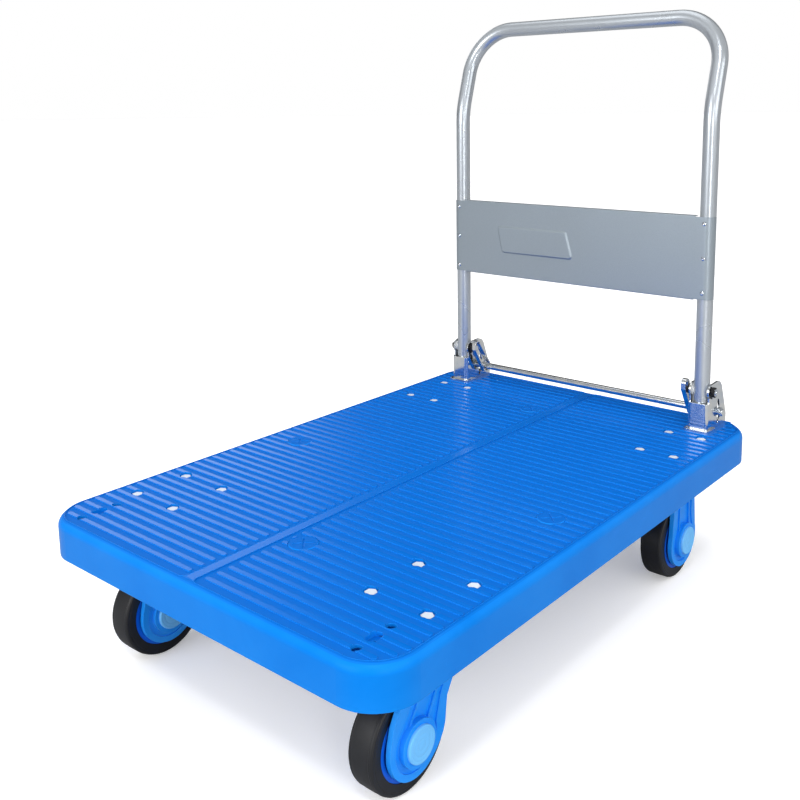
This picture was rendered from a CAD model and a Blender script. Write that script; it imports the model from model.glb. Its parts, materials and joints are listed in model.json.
import json
import math

import bmesh
import bpy
from mathutils import Matrix, Vector
from mathutils.geometry import tessellate_polygon

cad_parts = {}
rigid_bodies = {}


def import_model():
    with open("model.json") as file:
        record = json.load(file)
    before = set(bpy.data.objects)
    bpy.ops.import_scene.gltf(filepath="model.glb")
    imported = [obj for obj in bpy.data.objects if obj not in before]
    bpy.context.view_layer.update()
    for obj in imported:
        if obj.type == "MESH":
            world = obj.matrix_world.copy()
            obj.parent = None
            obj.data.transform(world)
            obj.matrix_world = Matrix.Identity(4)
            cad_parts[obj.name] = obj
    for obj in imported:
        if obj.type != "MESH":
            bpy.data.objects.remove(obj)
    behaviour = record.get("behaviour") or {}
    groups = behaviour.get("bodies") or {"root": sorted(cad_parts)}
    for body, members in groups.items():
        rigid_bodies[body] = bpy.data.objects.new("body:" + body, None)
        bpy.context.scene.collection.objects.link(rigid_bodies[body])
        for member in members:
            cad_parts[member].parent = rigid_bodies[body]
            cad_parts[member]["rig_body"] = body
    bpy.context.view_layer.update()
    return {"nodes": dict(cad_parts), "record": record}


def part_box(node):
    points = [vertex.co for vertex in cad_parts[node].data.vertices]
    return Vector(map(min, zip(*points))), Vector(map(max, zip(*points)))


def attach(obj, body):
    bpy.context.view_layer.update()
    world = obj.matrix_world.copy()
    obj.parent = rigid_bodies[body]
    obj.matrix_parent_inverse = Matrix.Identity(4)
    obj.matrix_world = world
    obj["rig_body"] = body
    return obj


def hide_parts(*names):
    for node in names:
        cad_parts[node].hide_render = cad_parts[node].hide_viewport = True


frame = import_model()

nodes = frame["nodes"]
DECK_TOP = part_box("deck_shell")[1].z
scene = bpy.context.scene
MM = 0.001
WHEELS = ["front_left", "front_right", "rear_left", "rear_right"]


# ---------------------------------------------------------------- camera and studio

CAMERA_PLACE = (1.0390, 0.8538, 0.7330)
CAMERA_FORWARD = (-0.7619, -0.6254, -0.1685)
CAMERA_RIGHT = (-0.6330, 0.7741, -0.0110)


def place_camera():
    """The camera stands off the cart's left front corner, above the deck's height."""
    forward = Vector(CAMERA_FORWARD).normalized()
    right = Vector(CAMERA_RIGHT)
    right = (right - forward * right.dot(forward)).normalized()
    up = right.cross(forward)
    data = bpy.data.cameras.new("camera")
    data.sensor_width = 36.0
    data.lens = 43.4
    data.shift_x = -0.0433
    data.shift_y = -0.1632
    data.dof.use_dof = False
    camera = bpy.data.objects.new("camera", data)
    turn = Matrix((right, up, -forward)).transposed().to_4x4()
    camera.matrix_world = Matrix.Translation(CAMERA_PLACE) @ turn
    scene.collection.objects.link(camera)
    scene.camera = camera


def feed(tree, node, inputs):
    """Sets a node's inputs, which are values or the sockets that feed them."""
    for name, value in inputs.items():
        if isinstance(value, bpy.types.NodeSocket):
            tree.links.new(value, node.inputs[name])
        else:
            node.inputs[name].default_value = value


def put(tree, kind, inputs=None, **settings):
    """Adds a shader node of a kind, with its settings and inputs."""
    node = tree.nodes.new("ShaderNode" + kind)
    for name, value in settings.items():
        setattr(node, name, value)
    feed(tree, node, inputs or {})
    return node


def ramp(tree, value, stops, interpolation="LINEAR"):
    """Colour ramp on a value; stops are (position, colour)."""
    node = put(tree, "ValToRGB", {"Fac": value})
    band = node.color_ramp
    band.interpolation = interpolation
    while len(band.elements) > 1:
        band.elements.remove(band.elements[-1])
    for i, (position, colour) in enumerate(stops):
        spot = band.elements[0] if i == 0 else band.elements.new(position)
        spot.position = position
        spot.color = colour if len(colour) == 4 else (*colour, 1.0)
    return node.outputs["Color"]


def grey(value):
    """Neutral colour of one brightness."""
    return (value, value, value, 1.0)


def contrast(tree, value, low, high):
    """The part of a value from low to high, stretched to run from 0 to 1."""
    return ramp(tree, value, [(low, grey(0.0)), (high, grey(1.0))])


def towards(azimuth, elevation):
    """Unit vector; azimuth is counter-clockwise from +X, both in degrees."""
    a, e = math.radians(azimuth), math.radians(elevation)
    return (math.cos(a) * math.cos(e), math.sin(a) * math.cos(e), math.sin(e))


# Round patches of the studio air, in degrees: azimuth, elevation, the angle from its middle where
# a patch starts to fade and the one where it ends; and its brightness
AIR_PATCHES = [
    (-150.0, 24.0, 34.0, 52.0, 0.05),
    (-122.0, 18.0, 6.0, 14.0, 2.2),
    (-10.0, 8.0, 9.0, 16.0, 2.8),
    (-75.0, 4.0, 16.0, 28.0, 0.12),
    (95.0, 4.0, 22.0, 38.0, 0.14),
]


def build_world():
    """Pale studio air that grows brighter with height, with bright and dark screens in it.

    Glossy rays meet a darker, more even air, and the camera sees plain white."""
    world = bpy.data.worlds.new("studio_air")
    scene.world = world
    world.use_nodes = True
    tree = world.node_tree
    tree.nodes.clear()
    out = put(tree, "OutputWorld")
    way = put(tree, "TexCoord").outputs["Generated"]
    height = put(tree, "SeparateXYZ", {0: way}).outputs["Z"]
    path = put(tree, "LightPath").outputs
    soft = ramp(tree, height, [(0.0, grey(0.62)), (0.3, grey(0.9)), (0.7, grey(1.5))])
    mirrored = ramp(tree, height, [(0.0, grey(0.52)), (0.35, grey(0.50)), (0.8, grey(0.36))])
    air = put(tree, "Mix", {"Factor": path["Is Glossy Ray"], 6: soft, 7: mirrored},
              data_type="RGBA").outputs[2]
    for azimuth, elevation, inner, outer, brightness in AIR_PATCHES:
        nearness = put(tree, "VectorMath", {0: way, 1: towards(azimuth, elevation)},
                       operation="DOT_PRODUCT").outputs["Value"]
        inside = put(tree, "MapRange", {
            "Value": nearness, "From Min": math.cos(math.radians(outer)),
            "From Max": math.cos(math.radians(inner))}, interpolation_type="SMOOTHSTEP")
        air = put(tree, "Mix", {"Factor": inside.outputs[0], 6: air, 7: grey(brightness)},
                  data_type="RGBA").outputs[2]
    light = put(tree, "Background", {"Color": air, "Strength": 1.0})
    seen = put(tree, "Background", {"Color": grey(1.0), "Strength": 1.0})
    pick = put(tree, "MixShader", {0: path["Is Camera Ray"], 1: light.outputs[0],
                                   2: seen.outputs[0]})
    tree.links.new(pick.outputs[0], out.inputs["Surface"])


def softbox(name, place, aim, size, power):
    """A soft rectangular lamp turned towards a point."""
    data = bpy.data.lights.new(name, "AREA")
    data.shape = "RECTANGLE"
    data.size, data.size_y = size
    data.energy = power
    lamp = bpy.data.objects.new(name, data)
    lamp.location = place
    lamp.rotation_mode = "QUATERNION"
    lamp.rotation_quaternion = (Vector(place) - Vector(aim)).to_track_quat("Z", "Y")
    scene.collection.objects.link(lamp)


FLOOR_RADIUS = 60.0


def build_floor():
    """A wide disc, pale to the camera and mid grey to all other rays."""
    mesh = bpy.data.meshes.new("studio_floor")
    bm = bmesh.new()
    bmesh.ops.create_circle(bm, cap_ends=True, radius=FLOOR_RADIUS, segments=96)
    bm.to_mesh(mesh)
    bm.free()
    floor = bpy.data.objects.new("studio_floor", mesh)
    scene.collection.objects.link(floor)
    paint = bpy.data.materials.new("pale_floor")
    paint.use_nodes = True
    tree = paint.node_tree
    shader = tree.nodes["Principled BSDF"]
    mottle = put(tree, "TexNoise", {"Scale": 3.0, "Detail": 2.0})
    pale = ramp(tree, mottle.outputs["Fac"], [(0.3, grey(0.90)), (0.7, grey(0.93))])
    seen = put(tree, "LightPath").outputs["Is Camera Ray"]
    tree.links.new(blend_colour(tree, seen, grey(0.42), pale), shader.inputs["Base Color"])
    tree.links.new(spread(tree, seen, 0.0, 0.30), shader.inputs["Emission Strength"])
    shader.inputs["Emission Color"].default_value = grey(1.0)
    shader.inputs["Roughness"].default_value = 0.75
    shader.inputs["Specular IOR Level"].default_value = 0.1
    mesh.materials.append(paint)


# ---------------------------------------------------------------- shared finish effects

def new_group(name, inputs, outputs):
    """A node group with its input and output nodes.

    An input is named with its default, a number or a tuple of three for a vector."""
    group = bpy.data.node_groups.new(name, "ShaderNodeTree")
    for label, value in inputs.items():
        kind = "NodeSocketVector" if isinstance(value, tuple) else "NodeSocketFloat"
        socket = group.interface.new_socket(label, in_out="INPUT", socket_type=kind)
        socket.default_value = value
    for label, kind in outputs.items():
        group.interface.new_socket(label, in_out="OUTPUT", socket_type="NodeSocket" + kind)
    return group, group.nodes.new("NodeGroupInput"), group.nodes.new("NodeGroupOutput")


def make_moulded_grain():
    """Fine spark-eroded grain as a height, and broad mottling of the moulding as a mask."""
    group, given, result = new_group(
        "moulded_grain", {"Coord": (0.0, 0.0, 0.0), "Scale": 900.0, "Mottle Scale": 9.0},
        {"Height": "Float", "Mottle": "Float"})
    fine = put(group, "TexNoise", {"Vector": given.outputs["Coord"],
                                   "Scale": given.outputs["Scale"], "Detail": 2.0,
                                   "Roughness": 0.6})
    broad = put(group, "TexNoise", {"Vector": given.outputs["Coord"],
                                    "Scale": given.outputs["Mottle Scale"], "Detail": 4.0,
                                    "Roughness": 0.55, "Distortion": 0.4})
    group.links.new(fine.outputs["Fac"], result.inputs["Height"])
    group.links.new(broad.outputs["Fac"], result.inputs["Mottle"])
    return group


def make_worn_edges():
    """Rounded edge normals and a mask of the edges they round."""
    group, given, result = new_group(
        "worn_edges", {"Radius": 0.0006, "Gain": 6.0}, {"Normal": "Vector", "Edge": "Float"})
    soft = put(group, "Bevel", {"Radius": given.outputs["Radius"]}, samples=6)
    flat = put(group, "NewGeometry")
    facing = put(group, "VectorMath", {0: soft.outputs[0], 1: flat.outputs["Normal"]},
                 operation="DOT_PRODUCT")
    away = put(group, "Math", {0: 1.0, 1: facing.outputs["Value"]}, operation="SUBTRACT")
    mask = put(group, "Math", {0: away.outputs[0], 1: given.outputs["Gain"]},
               operation="MULTIPLY", use_clamp=True)
    group.links.new(soft.outputs[0], result.inputs["Normal"])
    group.links.new(mask.outputs[0], result.inputs["Edge"])
    return group


def make_scuffs():
    """Hairline scuffs that run along X and across Y, as a mask."""
    group, given, result = new_group(
        "hairline_scuffs", {"Coord": (0.0, 0.0, 0.0), "Scale": 20.0, "Amount": 0.5},
        {"Mask": "Float"})
    total = None
    for stretch, turn in (((1.0, 26.0, 6.0), 0.35), ((22.0, 1.0, 5.0), -0.55)):
        lay = put(group, "Mapping", {"Vector": given.outputs["Coord"],
                                     "Rotation": (0.0, 0.0, turn), "Scale": stretch})
        lines = put(group, "TexNoise", {"Vector": lay.outputs[0],
                                        "Scale": given.outputs["Scale"], "Detail": 3.0})
        thin = contrast(group, lines.outputs["Fac"], 0.64, 0.72)
        if total is None:
            total = thin
        else:
            total = put(group, "Math", {0: total, 1: thin}, operation="MAXIMUM").outputs[0]
    patches = put(group, "TexNoise", {"Vector": given.outputs["Coord"], "Scale": 6.0})
    where = contrast(group, patches.outputs["Fac"], 0.48, 0.62)
    kept = put(group, "Math", {0: total, 1: where}, operation="MULTIPLY")
    mask = put(group, "Math", {0: kept.outputs[0], 1: given.outputs["Amount"]},
               operation="MULTIPLY", use_clamp=True)
    group.links.new(mask.outputs[0], result.inputs["Mask"])
    return group


GRAIN = make_moulded_grain()
EDGES = make_worn_edges()
SCUFFS = make_scuffs()


def place_group(tree, group, inputs):
    """Adds one of the shared effects to a material, and gives its outputs."""
    node = tree.nodes.new("ShaderNodeGroup")
    node.node_tree = group
    feed(tree, node, inputs)
    return node.outputs


def blend_colour(tree, factor, under, over, blend_type="MIX"):
    """Mix of two colours; each is a socket or a colour."""
    node = put(tree, "Mix", {"Factor": factor, 6: under, 7: over}, data_type="RGBA",
               blend_type=blend_type)
    return node.outputs[2]


def spread(tree, value, low, high):
    """A 0..1 value as a number from low to high."""
    return put(tree, "MapRange", {"Value": value, "To Min": low, "To Max": high}).outputs[0]


def new_finish(name):
    """A material with its shader, and the coordinates that move with the piece."""
    finish = bpy.data.materials.new(name)
    finish.use_nodes = True
    tree = finish.node_tree
    return finish, tree, tree.nodes["Principled BSDF"], put(tree, "TexCoord").outputs["Object"]


def feed_shader(tree, shader, colour, rough, height, edges, strength, depth):
    """Gives a shader its colour, its roughness, and a bump laid over the rounded edges."""
    bump = put(tree, "Bump", {"Strength": strength, "Distance": depth, "Height": height,
                              "Normal": edges["Normal"]})
    feed(tree, shader, {"Base Color": colour, "Roughness": rough, "Normal": bump.outputs[0]})


GRAIN_SCALE = 900.0
GRAIN_DEPTH = 0.00003
PLASTIC_IOR = 1.46


def moulded_plastic(name, deep, light, roughness=0.38, edge_light=0.35, edge_radius=0.0006,
                    sheen_tint=(1.0, 1.0, 1.0, 1.0)):
    """Moulded plastic: fine grain, slow mottling and paler edges."""
    finish, tree, shader, coord = new_finish(name)
    texture = place_group(tree, GRAIN, {"Coord": coord, "Scale": GRAIN_SCALE})
    edges = place_group(tree, EDGES, {"Radius": edge_radius})
    mottle = contrast(tree, texture["Mottle"], 0.32, 0.68)
    colour = blend_colour(tree, spread(tree, mottle, 0.0, 0.35), deep, light)
    rub = put(tree, "Math", {0: edges["Edge"], 1: edge_light}, operation="MULTIPLY").outputs[0]
    colour = blend_colour(tree, rub, colour, light)
    rough = spread(tree, texture["Mottle"], roughness - 0.05, roughness + 0.07)
    feed_shader(tree, shader, colour, rough, texture["Height"], edges, 0.5, GRAIN_DEPTH)
    shader.inputs["IOR"].default_value = PLASTIC_IOR
    shader.inputs["Specular IOR Level"].default_value = 0.24
    shader.inputs["Specular Tint"].default_value = sheen_tint
    return finish


def deck_plastic():
    """The deck's moulding: dull deep grooves, smoother paler tops, mottled skirt."""
    finish, tree, shader, coord = new_finish("deck_plastic")
    texture = place_group(tree, GRAIN, {"Coord": coord, "Scale": GRAIN_SCALE})
    edges = place_group(tree, EDGES, {"Radius": 0.0007})
    scuffs = place_group(tree, SCUFFS, {"Coord": coord, "Amount": 0.22})["Mask"]
    height = put(tree, "SeparateXYZ", {0: coord}).outputs["Z"]
    facing = put(tree, "SeparateXYZ",
                 {0: put(tree, "NewGeometry").outputs["Normal"]}).outputs["Z"]
    up = put(tree, "MapRange", {"Value": facing, "From Min": 0.75, "From Max": 0.95}).outputs[0]
    raised = put(tree, "MapRange", {"Value": height, "From Min": DECK_TOP - 0.25 * MM,
                                    "From Max": DECK_TOP - 0.1 * MM}).outputs[0]
    sunk = put(tree, "Math", {0: 1.0, 1: raised}, operation="SUBTRACT").outputs[0]
    groove = put(tree, "Math", {0: up, 1: sunk}, operation="MULTIPLY").outputs[0]
    top = put(tree, "Math", {0: up, 1: raised}, operation="MULTIPLY").outputs[0]
    mottle = contrast(tree, texture["Mottle"], 0.32, 0.68)
    colour = blend_colour(tree, spread(tree, mottle, 0.0, 0.6), (0.0, 0.165, 0.62, 1),
                          (0.008, 0.215, 0.71, 1))
    colour = blend_colour(tree, groove, colour, (0.0, 0.108, 0.47, 1))
    colour = blend_colour(tree, spread(tree, top, 0.0, 0.9), colour, (0.0, 0.112, 0.48, 1))
    colour = blend_colour(tree, spread(tree, edges["Edge"], 0.0, 0.38), colour,
                          (0.04, 0.30, 0.90, 1))
    colour = blend_colour(tree, scuffs, colour, (0.03, 0.25, 0.86, 1))
    rough = spread(tree, texture["Mottle"], 0.28, 0.38)
    rough = put(tree, "Mix", {"Factor": groove, 2: rough, 3: 0.66}).outputs[0]
    rough = put(tree, "Mix", {"Factor": top, 2: rough, 3: 0.22}).outputs[0]
    feed_shader(tree, shader, colour, rough, texture["Height"], edges, 0.5, GRAIN_DEPTH)
    shader.inputs["IOR"].default_value = PLASTIC_IOR
    shader.inputs["Specular IOR Level"].default_value = 0.20
    shader.inputs["Specular Tint"].default_value = (0.22, 0.66, 1.0, 1.0)
    return finish


def tyre_rubber():
    """Dull near-black rubber, a little paler where the tread is dusty."""
    finish, tree, shader, coord = new_finish("tyre_rubber")
    texture = place_group(tree, GRAIN, {"Coord": coord, "Scale": 420.0, "Mottle Scale": 30.0})
    edges = place_group(tree, EDGES, {"Radius": 0.0008, "Gain": 3.0})
    dust = put(tree, "TexNoise", {"Vector": coord, "Scale": 55.0, "Detail": 5.0,
                                  "Roughness": 0.7})
    pale = ramp(tree, dust.outputs["Fac"], [(0.48, grey(0.0)), (0.90, grey(0.5))])
    colour = blend_colour(tree, pale, (0.003, 0.004, 0.007, 1), (0.009, 0.011, 0.016, 1))
    colour = blend_colour(tree, spread(tree, edges["Edge"], 0.0, 0.5), colour,
                          (0.05, 0.052, 0.058, 1))
    rough = spread(tree, texture["Mottle"], 0.42, 0.56)
    feed_shader(tree, shader, colour, rough, texture["Height"], edges, 0.6, 0.00008)
    return finish


def silver_coat(name, roughness, metal, tint):
    """Silver powder coat: fine flake, a slight orange peel and duller handling marks."""
    finish, tree, shader, coord = new_finish(name)
    flake = put(tree, "TexVoronoi", {"Vector": coord, "Scale": 1400.0})
    peel = put(tree, "TexNoise", {"Vector": coord, "Scale": 260.0, "Detail": 2.0})
    marks = place_group(tree, SCUFFS, {"Coord": coord, "Scale": 14.0, "Amount": 0.10})["Mask"]
    edges = place_group(tree, EDGES, {"Radius": 0.0006})
    fleck = ramp(tree, flake.outputs["Color"], [(0.0, grey(0.82)), (1.0, grey(1.0))])
    colour = blend_colour(tree, 0.5, tint, fleck, "MULTIPLY")
    colour = blend_colour(tree, marks, colour, (0.40, 0.42, 0.45, 1))
    mottle = put(tree, "TexNoise", {"Vector": coord, "Scale": 12.0, "Detail": 3.0})
    rough = spread(tree, mottle.outputs["Fac"], roughness - 0.06, roughness + 0.08)
    feed_shader(tree, shader, colour, rough, peel.outputs["Fac"], edges, 0.10, GRAIN_DEPTH)
    shader.inputs["Metallic"].default_value = metal
    return finish


def plated_steel(name, cool, warm, roughness, brushed=0.0):
    """Bright zinc plate: cool and warm passivation clouds, and faint rolling lines."""
    finish, tree, shader, coord = new_finish(name)
    clouds = put(tree, "TexNoise", {"Vector": coord, "Scale": 45.0, "Detail": 4.0,
                                    "Distortion": 1.2})
    edges = place_group(tree, EDGES, {"Radius": 0.0008, "Gain": 4.0})
    tone = contrast(tree, clouds.outputs["Fac"], 0.35, 0.65)
    colour = blend_colour(tree, tone, cool, warm)
    stretch = put(tree, "Mapping", {"Vector": coord, "Scale": (1.0, 1.0, 14.0)})
    lines = put(tree, "TexNoise", {"Vector": stretch.outputs[0], "Scale": 160.0,
                                   "Detail": 2.0})
    rough = spread(tree, clouds.outputs["Fac"], roughness - 0.05, roughness + 0.10)
    feed_shader(tree, shader, colour, rough, lines.outputs["Fac"], edges, 0.06 + brushed, 0.00005)
    shader.inputs["Metallic"].default_value = 1.0
    return finish


# ---------------------------------------------------------------- stage and finishes by slot

place_camera()
build_world()
build_floor()
softbox("front_box", (2.8, -0.4, 1.3), (0.1, 0.0, 0.25), (1.6, 1.2), 22.0)
softbox("side_box", (0.2, 3.0, 1.4), (0.0, 0.0, 0.25), (2.0, 1.2), 20.0)
softbox("corner_box", (1.7, 1.15, 2.7), (0.4, 0.26, 0.2), (0.30, 0.30), 18.0)
softbox("strip_box", (1.35, 1.7, 0.7), (-0.37, 0.0, 0.5), (0.35, 1.2), 9.0)
softbox("top_box", (-0.5, -0.6, 3.2), (-0.1, 0.0, 0.2), (2.0, 2.0), 14.0)
scene.view_settings.view_transform = "Standard"

FINISHES = {
    "deck_plastic": deck_plastic(),
    "fork_plastic": moulded_plastic(
        "fork_plastic", (0.0, 0.255, 0.92, 1), (0.10, 0.46, 1.0, 1), roughness=0.30,
        edge_light=0.6, sheen_tint=(0.4, 0.8, 1.0, 1.0)),
    "hub_plastic": moulded_plastic(
        "hub_plastic", (0.0, 0.110, 0.72, 1), (0.02, 0.20, 0.90, 1), roughness=0.34),
    "cap_plastic": moulded_plastic(
        "cap_plastic", (0.14, 0.50, 0.96, 1), (0.30, 0.66, 1.0, 1), roughness=0.42),
    "tyre_rubber": tyre_rubber(),
    "handle_coat": silver_coat("handle_coat", 0.27, metal=0.72, tint=(0.53, 0.57, 0.61, 1)),
    "panel_coat": silver_coat("panel_coat", 0.36, metal=0.6, tint=(0.33, 0.38, 0.42, 1)),
    "zinc_plate": plated_steel("zinc_plate", (0.66, 0.72, 0.80, 1), (0.82, 0.83, 0.82, 1), 0.11),
    "bearing_steel": plated_steel(
        "bearing_steel", (0.55, 0.57, 0.60, 1), (0.66, 0.66, 0.66, 1), 0.26, brushed=0.2),
    "bolt_heads": moulded_plastic(
        "bolt_heads", (0.50, 0.54, 0.60, 1), (0.74, 0.77, 0.80, 1), roughness=0.40),
    "nylon_white": moulded_plastic(
        "nylon_white", (0.66, 0.67, 0.66, 1), (0.80, 0.81, 0.80, 1), roughness=0.45),
    "spring_black": moulded_plastic(
        "spring_black", (0.012, 0.012, 0.013, 1), (0.05, 0.05, 0.055, 1), roughness=0.34,
        edge_radius=0.0003),
    "black_plastic": moulded_plastic(
        "black_plastic", (0.012, 0.012, 0.013, 1), (0.04, 0.04, 0.045, 1), roughness=0.5),
}

for sub in frame["record"]["subparts"]:
    node = nodes.get(sub["node"])
    if node is None:
        continue
    finish = FINISHES[sub["material_slot"]]
    if not node.material_slots:
        node.data.materials.append(finish)
    for place in node.material_slots:
        place.material = finish


# ---------------------------------------------------------------- finer pieces

def thicken(bm, thickness):
    """Backs a sheet's faces at a thickness, and closes its edges."""
    bm.normal_update()
    front = list(bm.faces)
    rims = [(edge.verts[0], edge.verts[1]) for edge in bm.edges if len(edge.link_faces) == 1]
    backs = {vert: bm.verts.new(vert.co - vert.normal * thickness) for vert in list(bm.verts)}
    for face in front:
        bm.faces.new([backs[vert] for vert in reversed(face.verts)])
    for a, b in rims:
        bm.faces.new((a, b, backs[b], backs[a]))


SHARP_ANGLE = math.radians(38.0)
WELD = 1e-6


def add_piece(name, verts, faces, body, slot, sheet=0.0, core=None):
    """A piece made in millimetres; its faces are smoothed except at sharp edges.

    A sheet's faces are given a thickness on the side that looks to its core."""
    mesh = bpy.data.meshes.new(name)
    mesh.from_pydata([Vector(v) * MM for v in verts], [], faces)
    bm = bmesh.new()
    bm.from_mesh(mesh)
    bmesh.ops.remove_doubles(bm, verts=bm.verts, dist=WELD)
    bmesh.ops.recalc_face_normals(bm, faces=bm.faces)
    if sheet:
        away = sum(face.normal.dot(face.calc_center_median() - core * MM) * face.calc_area()
                   for face in bm.faces)
        if away < 0.0:
            bmesh.ops.reverse_faces(bm, faces=bm.faces)
        thicken(bm, sheet * MM)
        bmesh.ops.recalc_face_normals(bm, faces=bm.faces)
    bm.to_mesh(mesh)
    bm.free()
    mesh.shade_smooth()
    mesh.set_sharp_from_angle(angle=SHARP_ANGLE)
    mesh.materials.append(FINISHES[slot])
    piece = bpy.data.objects.new(name, mesh)
    scene.collection.objects.link(piece)
    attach(piece, body)
    return piece


def lathe(profile, centre, turns):
    """Closed outline of (radius, y) turned about an axle that runs along Y."""
    verts, faces = [], []
    n = len(profile)
    for i in range(turns):
        a = 2.0 * math.pi * i / turns
        verts += [(centre[0] + r * math.cos(a), centre[1] + y, centre[2] + r * math.sin(a))
                  for r, y in profile]
        j = (i + 1) % turns
        faces += [(i * n + k, i * n + (k + 1) % n, j * n + (k + 1) % n, j * n + k)
                  for k in range(n)]
    return verts, faces


def sweep(points, radius, sides):
    """Round wire along points, with flat ends."""
    points = [Vector(p) for p in points]
    verts, faces = [], []
    side = None
    for i, p in enumerate(points):
        run = (points[min(i + 1, len(points) - 1)] - points[max(i - 1, 0)]).normalized()
        if side is None:
            side = run.orthogonal().normalized()
        side = (side - run * side.dot(run)).normalized()
        other = run.cross(side)
        for k in range(sides):
            a = 2.0 * math.pi * k / sides
            verts.append(p + radius * (math.cos(a) * side + math.sin(a) * other))
        if i:
            low, high = (i - 1) * sides, i * sides
            faces += [(low + k, low + (k + 1) % sides, high + (k + 1) % sides, high + k)
                      for k in range(sides)]
    last = (len(points) - 1) * sides
    faces += [tuple(range(sides)), tuple(range(last + sides - 1, last - 1, -1))]
    return verts, faces


def middle_of(node):
    """Middle of a node's box, in millimetres."""
    low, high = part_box(node)
    return (low + high) / 2.0 / MM


# Tyre: flat tread with a ridge at each shoulder, and a step in each flat side wall
TYRE_HALF = [
    (45.02, 12.0), (47.02, 13.5), (47.02, 17.0), (47.3, 17.25), (56.2, 17.25), (56.5, 17.0),
    (57.0, 16.85), (57.6, 17.0), (57.9, 17.2), (58.6, 17.2), (59.6, 16.95), (60.5, 16.5),
    (61.2, 15.9), (61.7, 15.1), (61.9, 14.3), (61.95, 13.7), (62.15, 13.4), (62.3, 13.0),
    (62.15, 12.6), (61.95, 12.3), (62.05, 11.6), (62.3, 8.0), (62.5, 3.0),
]
TYRE_TURNS = 160


def build_tyres():
    """Tyres with their tread's ridges, in the place of the frame's plainer ones."""
    outline = [(r, -y) for r, y in TYRE_HALF] + TYRE_HALF[::-1]
    for wheel in WHEELS:
        node = wheel + "_tyre"
        verts, faces = lathe(outline, middle_of(node), TYRE_TURNS)
        tread = add_piece(wheel + "_tread", verts, faces, nodes[node]["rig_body"], "tyre_rubber")
        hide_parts(node)


# Cap: shallow rings turned into its face, as radius and height above the face that it seats on
CAP_FACE = [
    (0.05, 3.5), (5.5, 3.5), (6.0, 3.3), (6.5, 3.5), (12.6, 3.5), (13.0, 3.3), (13.4, 3.5),
    (17.4, 3.5), (17.8, 3.35), (18.2, 3.68), (19.8, 3.7), (20.6, 3.5), (21.1, 3.0),
    (21.3, 2.4), (21.3, 0.0), (10.4, 0.0), (10.4, -0.6), (0.05, -0.6),
]
CAP_T = 3.7
CAP_TURNS = 96


def build_caps():
    """The two caps of each wheel; both together take the place of the wheel's caps node."""
    for wheel in WHEELS:
        node = wheel + "_caps"
        low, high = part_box(node)
        centre = middle_of(node)
        for side, edge in ((-1, low.y / MM), (1, high.y / MM)):
            outline = [(r, side * (y - CAP_T)) for r, y in CAP_FACE]
            verts, faces = lathe(outline, (centre.x, edge, centre.z), CAP_TURNS)
            label = wheel + ("_cap_right" if side < 0 else "_cap_left")
            add_piece(label, verts, faces, nodes[node]["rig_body"], "cap_plastic")
        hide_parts(node)


# Hinge of the handle, in millimetres from the pivot's place on the deck
PIVOT_X = middle_of("pivot_pins").x
PIVOT_H = 64.0
UPRIGHT_Y = 239.2
TUBE_R = 12.5
CHEEK_OUT = 17.0
LIP_REACH = 19.7
SPRING_R = 7.2
SPRING_WIRE_R = 1.1
SPRING_PITCH = 2.35
SPRING_TURNS = 2
SPRING_STEPS = 36
SPRING_START = 40.0
SEAT = 0.3
WIRE_SIDES = 14


def spring_path(out):
    """Coil round the pin and its short leg down the cheek; out is the side it winds to."""
    start = out * (CHEEK_OUT + SEAT + SPRING_WIRE_R)
    steps = SPRING_STEPS * SPRING_TURNS
    path = []
    for k in range(steps + 1):
        a = math.radians(SPRING_START - 360.0 / SPRING_STEPS * k)
        along = start + out * (steps - k) * SPRING_PITCH / SPRING_STEPS
        path.append((SPRING_R * math.cos(a), along, PIVOT_H + SPRING_R * math.sin(a)))
    c = SPRING_R * math.cos(math.radians(SPRING_START))
    path += [(c + 0.7, start, PIVOT_H + 2.6), (c + 0.9, start, PIVOT_H + 0.5),
             (c + 0.5, start, PIVOT_H - 2.5), (c - 0.6, start, PIVOT_H - 6.0),
             (c - 2.5, start, PIVOT_H - 10.0)]
    return path


def on_hinge(path, side):
    """Points given at the left hinge, moved to the left (1) or right (-1) hinge."""
    top = DECK_TOP / MM
    return [(PIVOT_X + x, side * (UPRIGHT_Y + y), top + z) for x, y, z in path]


def build_springs():
    """Four torsion springs, one on each side of each hinge."""
    for side, place in ((1, "left"), (-1, "right")):
        for out, face in ((1, "outer"), (-1, "inner")):
            verts, faces = sweep(on_hinge(spring_path(out), side), SPRING_WIRE_R,
                                 WIRE_SIDES)
            add_piece("lock_spring_" + place + "_" + face, verts, faces,
                                     nodes["lock_springs"]["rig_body"], "spring_black")
    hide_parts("lock_springs")


# Outline of the deck's two ribbed panels, in millimetres, and the bead that follows it
RIBBED_HALF_X = 441.0
RIBBED_INNER_Y = 6.5
RIBBED_OUTER_Y = 291.0
OUTER_R = 48.0
INNER_R = 9.0
BEAD_R = 0.42
BEAD_DROP = 0.2
CORNER_STEPS = 12


def build_panel_beads():
    """Fine bead left along the step round each ribbed panel."""
    z = DECK_TOP / MM - BEAD_DROP
    for side, place in ((1, "left"), (-1, "right")):
        path = []
        for sx, y, r, inward, start in ((1, RIBBED_OUTER_Y, OUTER_R, -1.0, 0),
                                        (-1, RIBBED_OUTER_Y, OUTER_R, -1.0, 90),
                                        (-1, RIBBED_INNER_Y, INNER_R, 1.0, 180),
                                        (1, RIBBED_INNER_Y, INNER_R, 1.0, 270)):
            for k in range(CORNER_STEPS + 1):
                a = math.radians(start + 90.0 / CORNER_STEPS * k)
                path.append((sx * (RIBBED_HALF_X - r) + r * math.cos(a),
                             side * (y + inward * r + r * math.sin(a)), z))
        path.append(path[0])
        verts, faces = sweep(path, BEAD_R, 8)
        add_piece("panel_bead_" + place, verts, faces, "deck", "deck_plastic")


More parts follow.
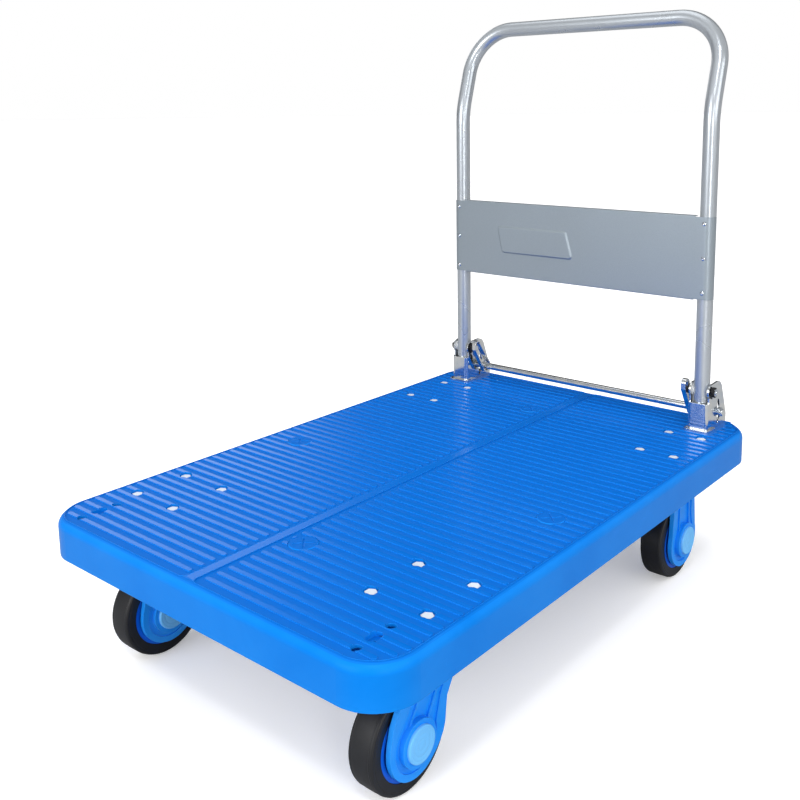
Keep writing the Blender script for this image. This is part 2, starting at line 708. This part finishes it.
LIP_BEAD_R = 1.85
LIP_BEAD_Z = 1.9
LIP_CORNER_R = 5.0
LIP_BACK = -9.5


def build_lips():
    """Rolled bead round the front of each bracket's foot."""
    half = CHEEK_OUT + 1.8
    corner = LIP_CORNER_R
    path = [(LIP_BACK, -half, LIP_BEAD_Z), (0.0, -half, LIP_BEAD_Z)]
    for k in range(CORNER_STEPS + 1):
        a = math.radians(-90.0 + 90.0 / CORNER_STEPS * k)
        path.append((LIP_REACH - corner + corner * math.cos(a),
                     -half + corner + corner * math.sin(a), LIP_BEAD_Z))
    path += [(x, -y, z) for x, y, z in reversed(path)]
    for side, place in ((1, "left"), (-1, "right")):
        verts, faces = sweep(on_hinge(path, side), LIP_BEAD_R, WIRE_SIDES)
        add_piece("bracket_bead_" + place, verts, faces, "deck", "zinc_plate")


# Sheet panel of the handle, in millimetres above the deck and across Y
PANEL_LOW = 212.0
PANEL_HIGH = 345.0
SHEET_T = 1.2
SHEET_FIT = 0.05
SHEET_FRONT = TUBE_R + SHEET_FIT + SHEET_T
HEM_DEPTH = 9.0
HEM_HALF = UPRIGHT_Y - TUBE_R - 3.0
FOLD_R = 1.6
EMBOSS = [(-142.0, 254.5), (6.0, 254.5), (-8.0, 303.0), (-153.0, 303.0)]
EMBOSS_R = 6.0
EMBOSS_SLOPE = 3.0
EMBOSS_H = 2.4
EMBOSS_MARGIN = 0.6
EMBOSS_STEPS = 8
FLAT_END = FOLD_R + 0.5


def emboss_loop(inset):
    """Outline of the embossed field moved inward, with round corners, as (y, z)."""
    corners = [Vector(p) for p in EMBOSS]
    loop = []
    for i, corner in enumerate(corners):
        before = (corner - corners[i - 1]).normalized()
        after = (corners[(i + 1) % 4] - corner).normalized()
        n0, n1 = Vector((before.y, -before.x)), Vector((after.y, -after.x))
        middle = corner - (n0 + n1) * (EMBOSS_R / (1.0 + n0.dot(n1)))
        a0 = math.atan2(n0.y, n0.x)
        turn = n0.angle(n1)
        for k in range(11):
            a = a0 + turn * k / 10.0
            loop.append(middle + (EMBOSS_R - inset) * Vector((math.cos(a), math.sin(a))))
    return loop


def panel_face():
    """Flat front of the sheet with the embossed field in it."""
    slope = [EMBOSS_SLOPE * k / EMBOSS_STEPS for k in range(EMBOSS_STEPS + 1)]
    insets = [-EMBOSS_MARGIN] + slope + [EMBOSS_SLOPE + EMBOSS_MARGIN]
    loops = [emboss_loop(d) for d in insets]
    n = len(loops[0])
    verts, faces = [], []
    for d, loop in zip(insets, loops):
        t = min(max(d / EMBOSS_SLOPE, 0.0), 1.0)
        rise = EMBOSS_H * t * t * (3.0 - 2.0 * t)
        verts += [(SHEET_FRONT + rise, p.x, p.y) for p in loop]
    for i in range(len(loops) - 1):
        faces += [(i * n + k, i * n + (k + 1) % n, (i + 1) * n + (k + 1) % n, (i + 1) * n + k)
                  for k in range(n)]
    faces.append(tuple(range((len(loops) - 1) * n, len(loops) * n)))
    low, high = PANEL_LOW + FOLD_R + 0.5, PANEL_HIGH - FOLD_R - 0.5
    frame_loop = [Vector((-HEM_HALF, low)), Vector((HEM_HALF, low)),
                  Vector((HEM_HALF, high)), Vector((-HEM_HALF, high))]
    start = len(verts)
    verts += [(SHEET_FRONT, p.x, p.y) for p in frame_loop]
    flat = [[p.to_3d() for p in frame_loop], [p.to_3d() for p in loops[0]]]
    index = list(range(start, start + 4)) + list(range(n))
    faces += [tuple(index[k] for k in tri) for tri in tessellate_polygon(flat)]
    return verts, faces


def strip(rows):
    """Faces between rows of as many points each."""
    n = len(rows[0])
    verts = [p for row in rows for p in row]
    faces = [(i * n + k, i * n + k + 1, (i + 1) * n + k + 1, (i + 1) * n + k)
             for i in range(len(rows) - 1) for k in range(n - 1)]
    return verts, faces


def panel_hem(up):
    """Fold along the top (up = 1) or the bottom (-1), going back between the tubes."""
    edge = PANEL_HIGH if up > 0 else PANEL_LOW
    path = [(SHEET_FRONT, edge - up * FLAT_END)]
    for k in range(9):
        a = math.radians(90.0 * k / 8.0)
        path.append((SHEET_FRONT - FOLD_R + FOLD_R * math.cos(a),
                     edge - up * FOLD_R * (1.0 - math.sin(a))))
    path.append((SHEET_FRONT - SHEET_T - HEM_DEPTH, edge))
    return strip([[(x, y, z) for y in (-HEM_HALF, HEM_HALF)] for x, z in path])


def panel_end(side):
    """The sheet's end, wrapped round the front of one tube."""
    path = [(SHEET_FRONT, HEM_HALF), (SHEET_FRONT, UPRIGHT_Y - 0.5)]
    for k in range(17):
        a = math.radians(90.0 * k / 16.0)
        path.append((SHEET_FRONT * math.cos(a), UPRIGHT_Y + SHEET_FRONT * math.sin(a)))
    ends = (PANEL_LOW + 1.5, PANEL_HIGH - 1.5)
    return strip([[(x, side * y, z) for z in ends] for x, y in path])


def build_panel():
    parts = [("face", panel_face()), ("top_hem", panel_hem(1)), ("bottom_hem", panel_hem(-1)),
             ("left_wrap", panel_end(1)), ("right_wrap", panel_end(-1))]
    top = DECK_TOP / MM
    core = Vector((PIVOT_X, 0.0, top + (PANEL_LOW + PANEL_HIGH) / 2.0))
    for label, (verts, faces) in parts:
        placed = [(PIVOT_X + x, y, top + z) for x, y, z in verts]
        add_piece("panel_" + label, placed, faces,
                              nodes["handle_panel"]["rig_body"], "panel_coat", SHEET_T, core)
    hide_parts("handle_panel")


build_tyres()
build_caps()
build_springs()
build_lips()
build_panel_beads()
build_panel()
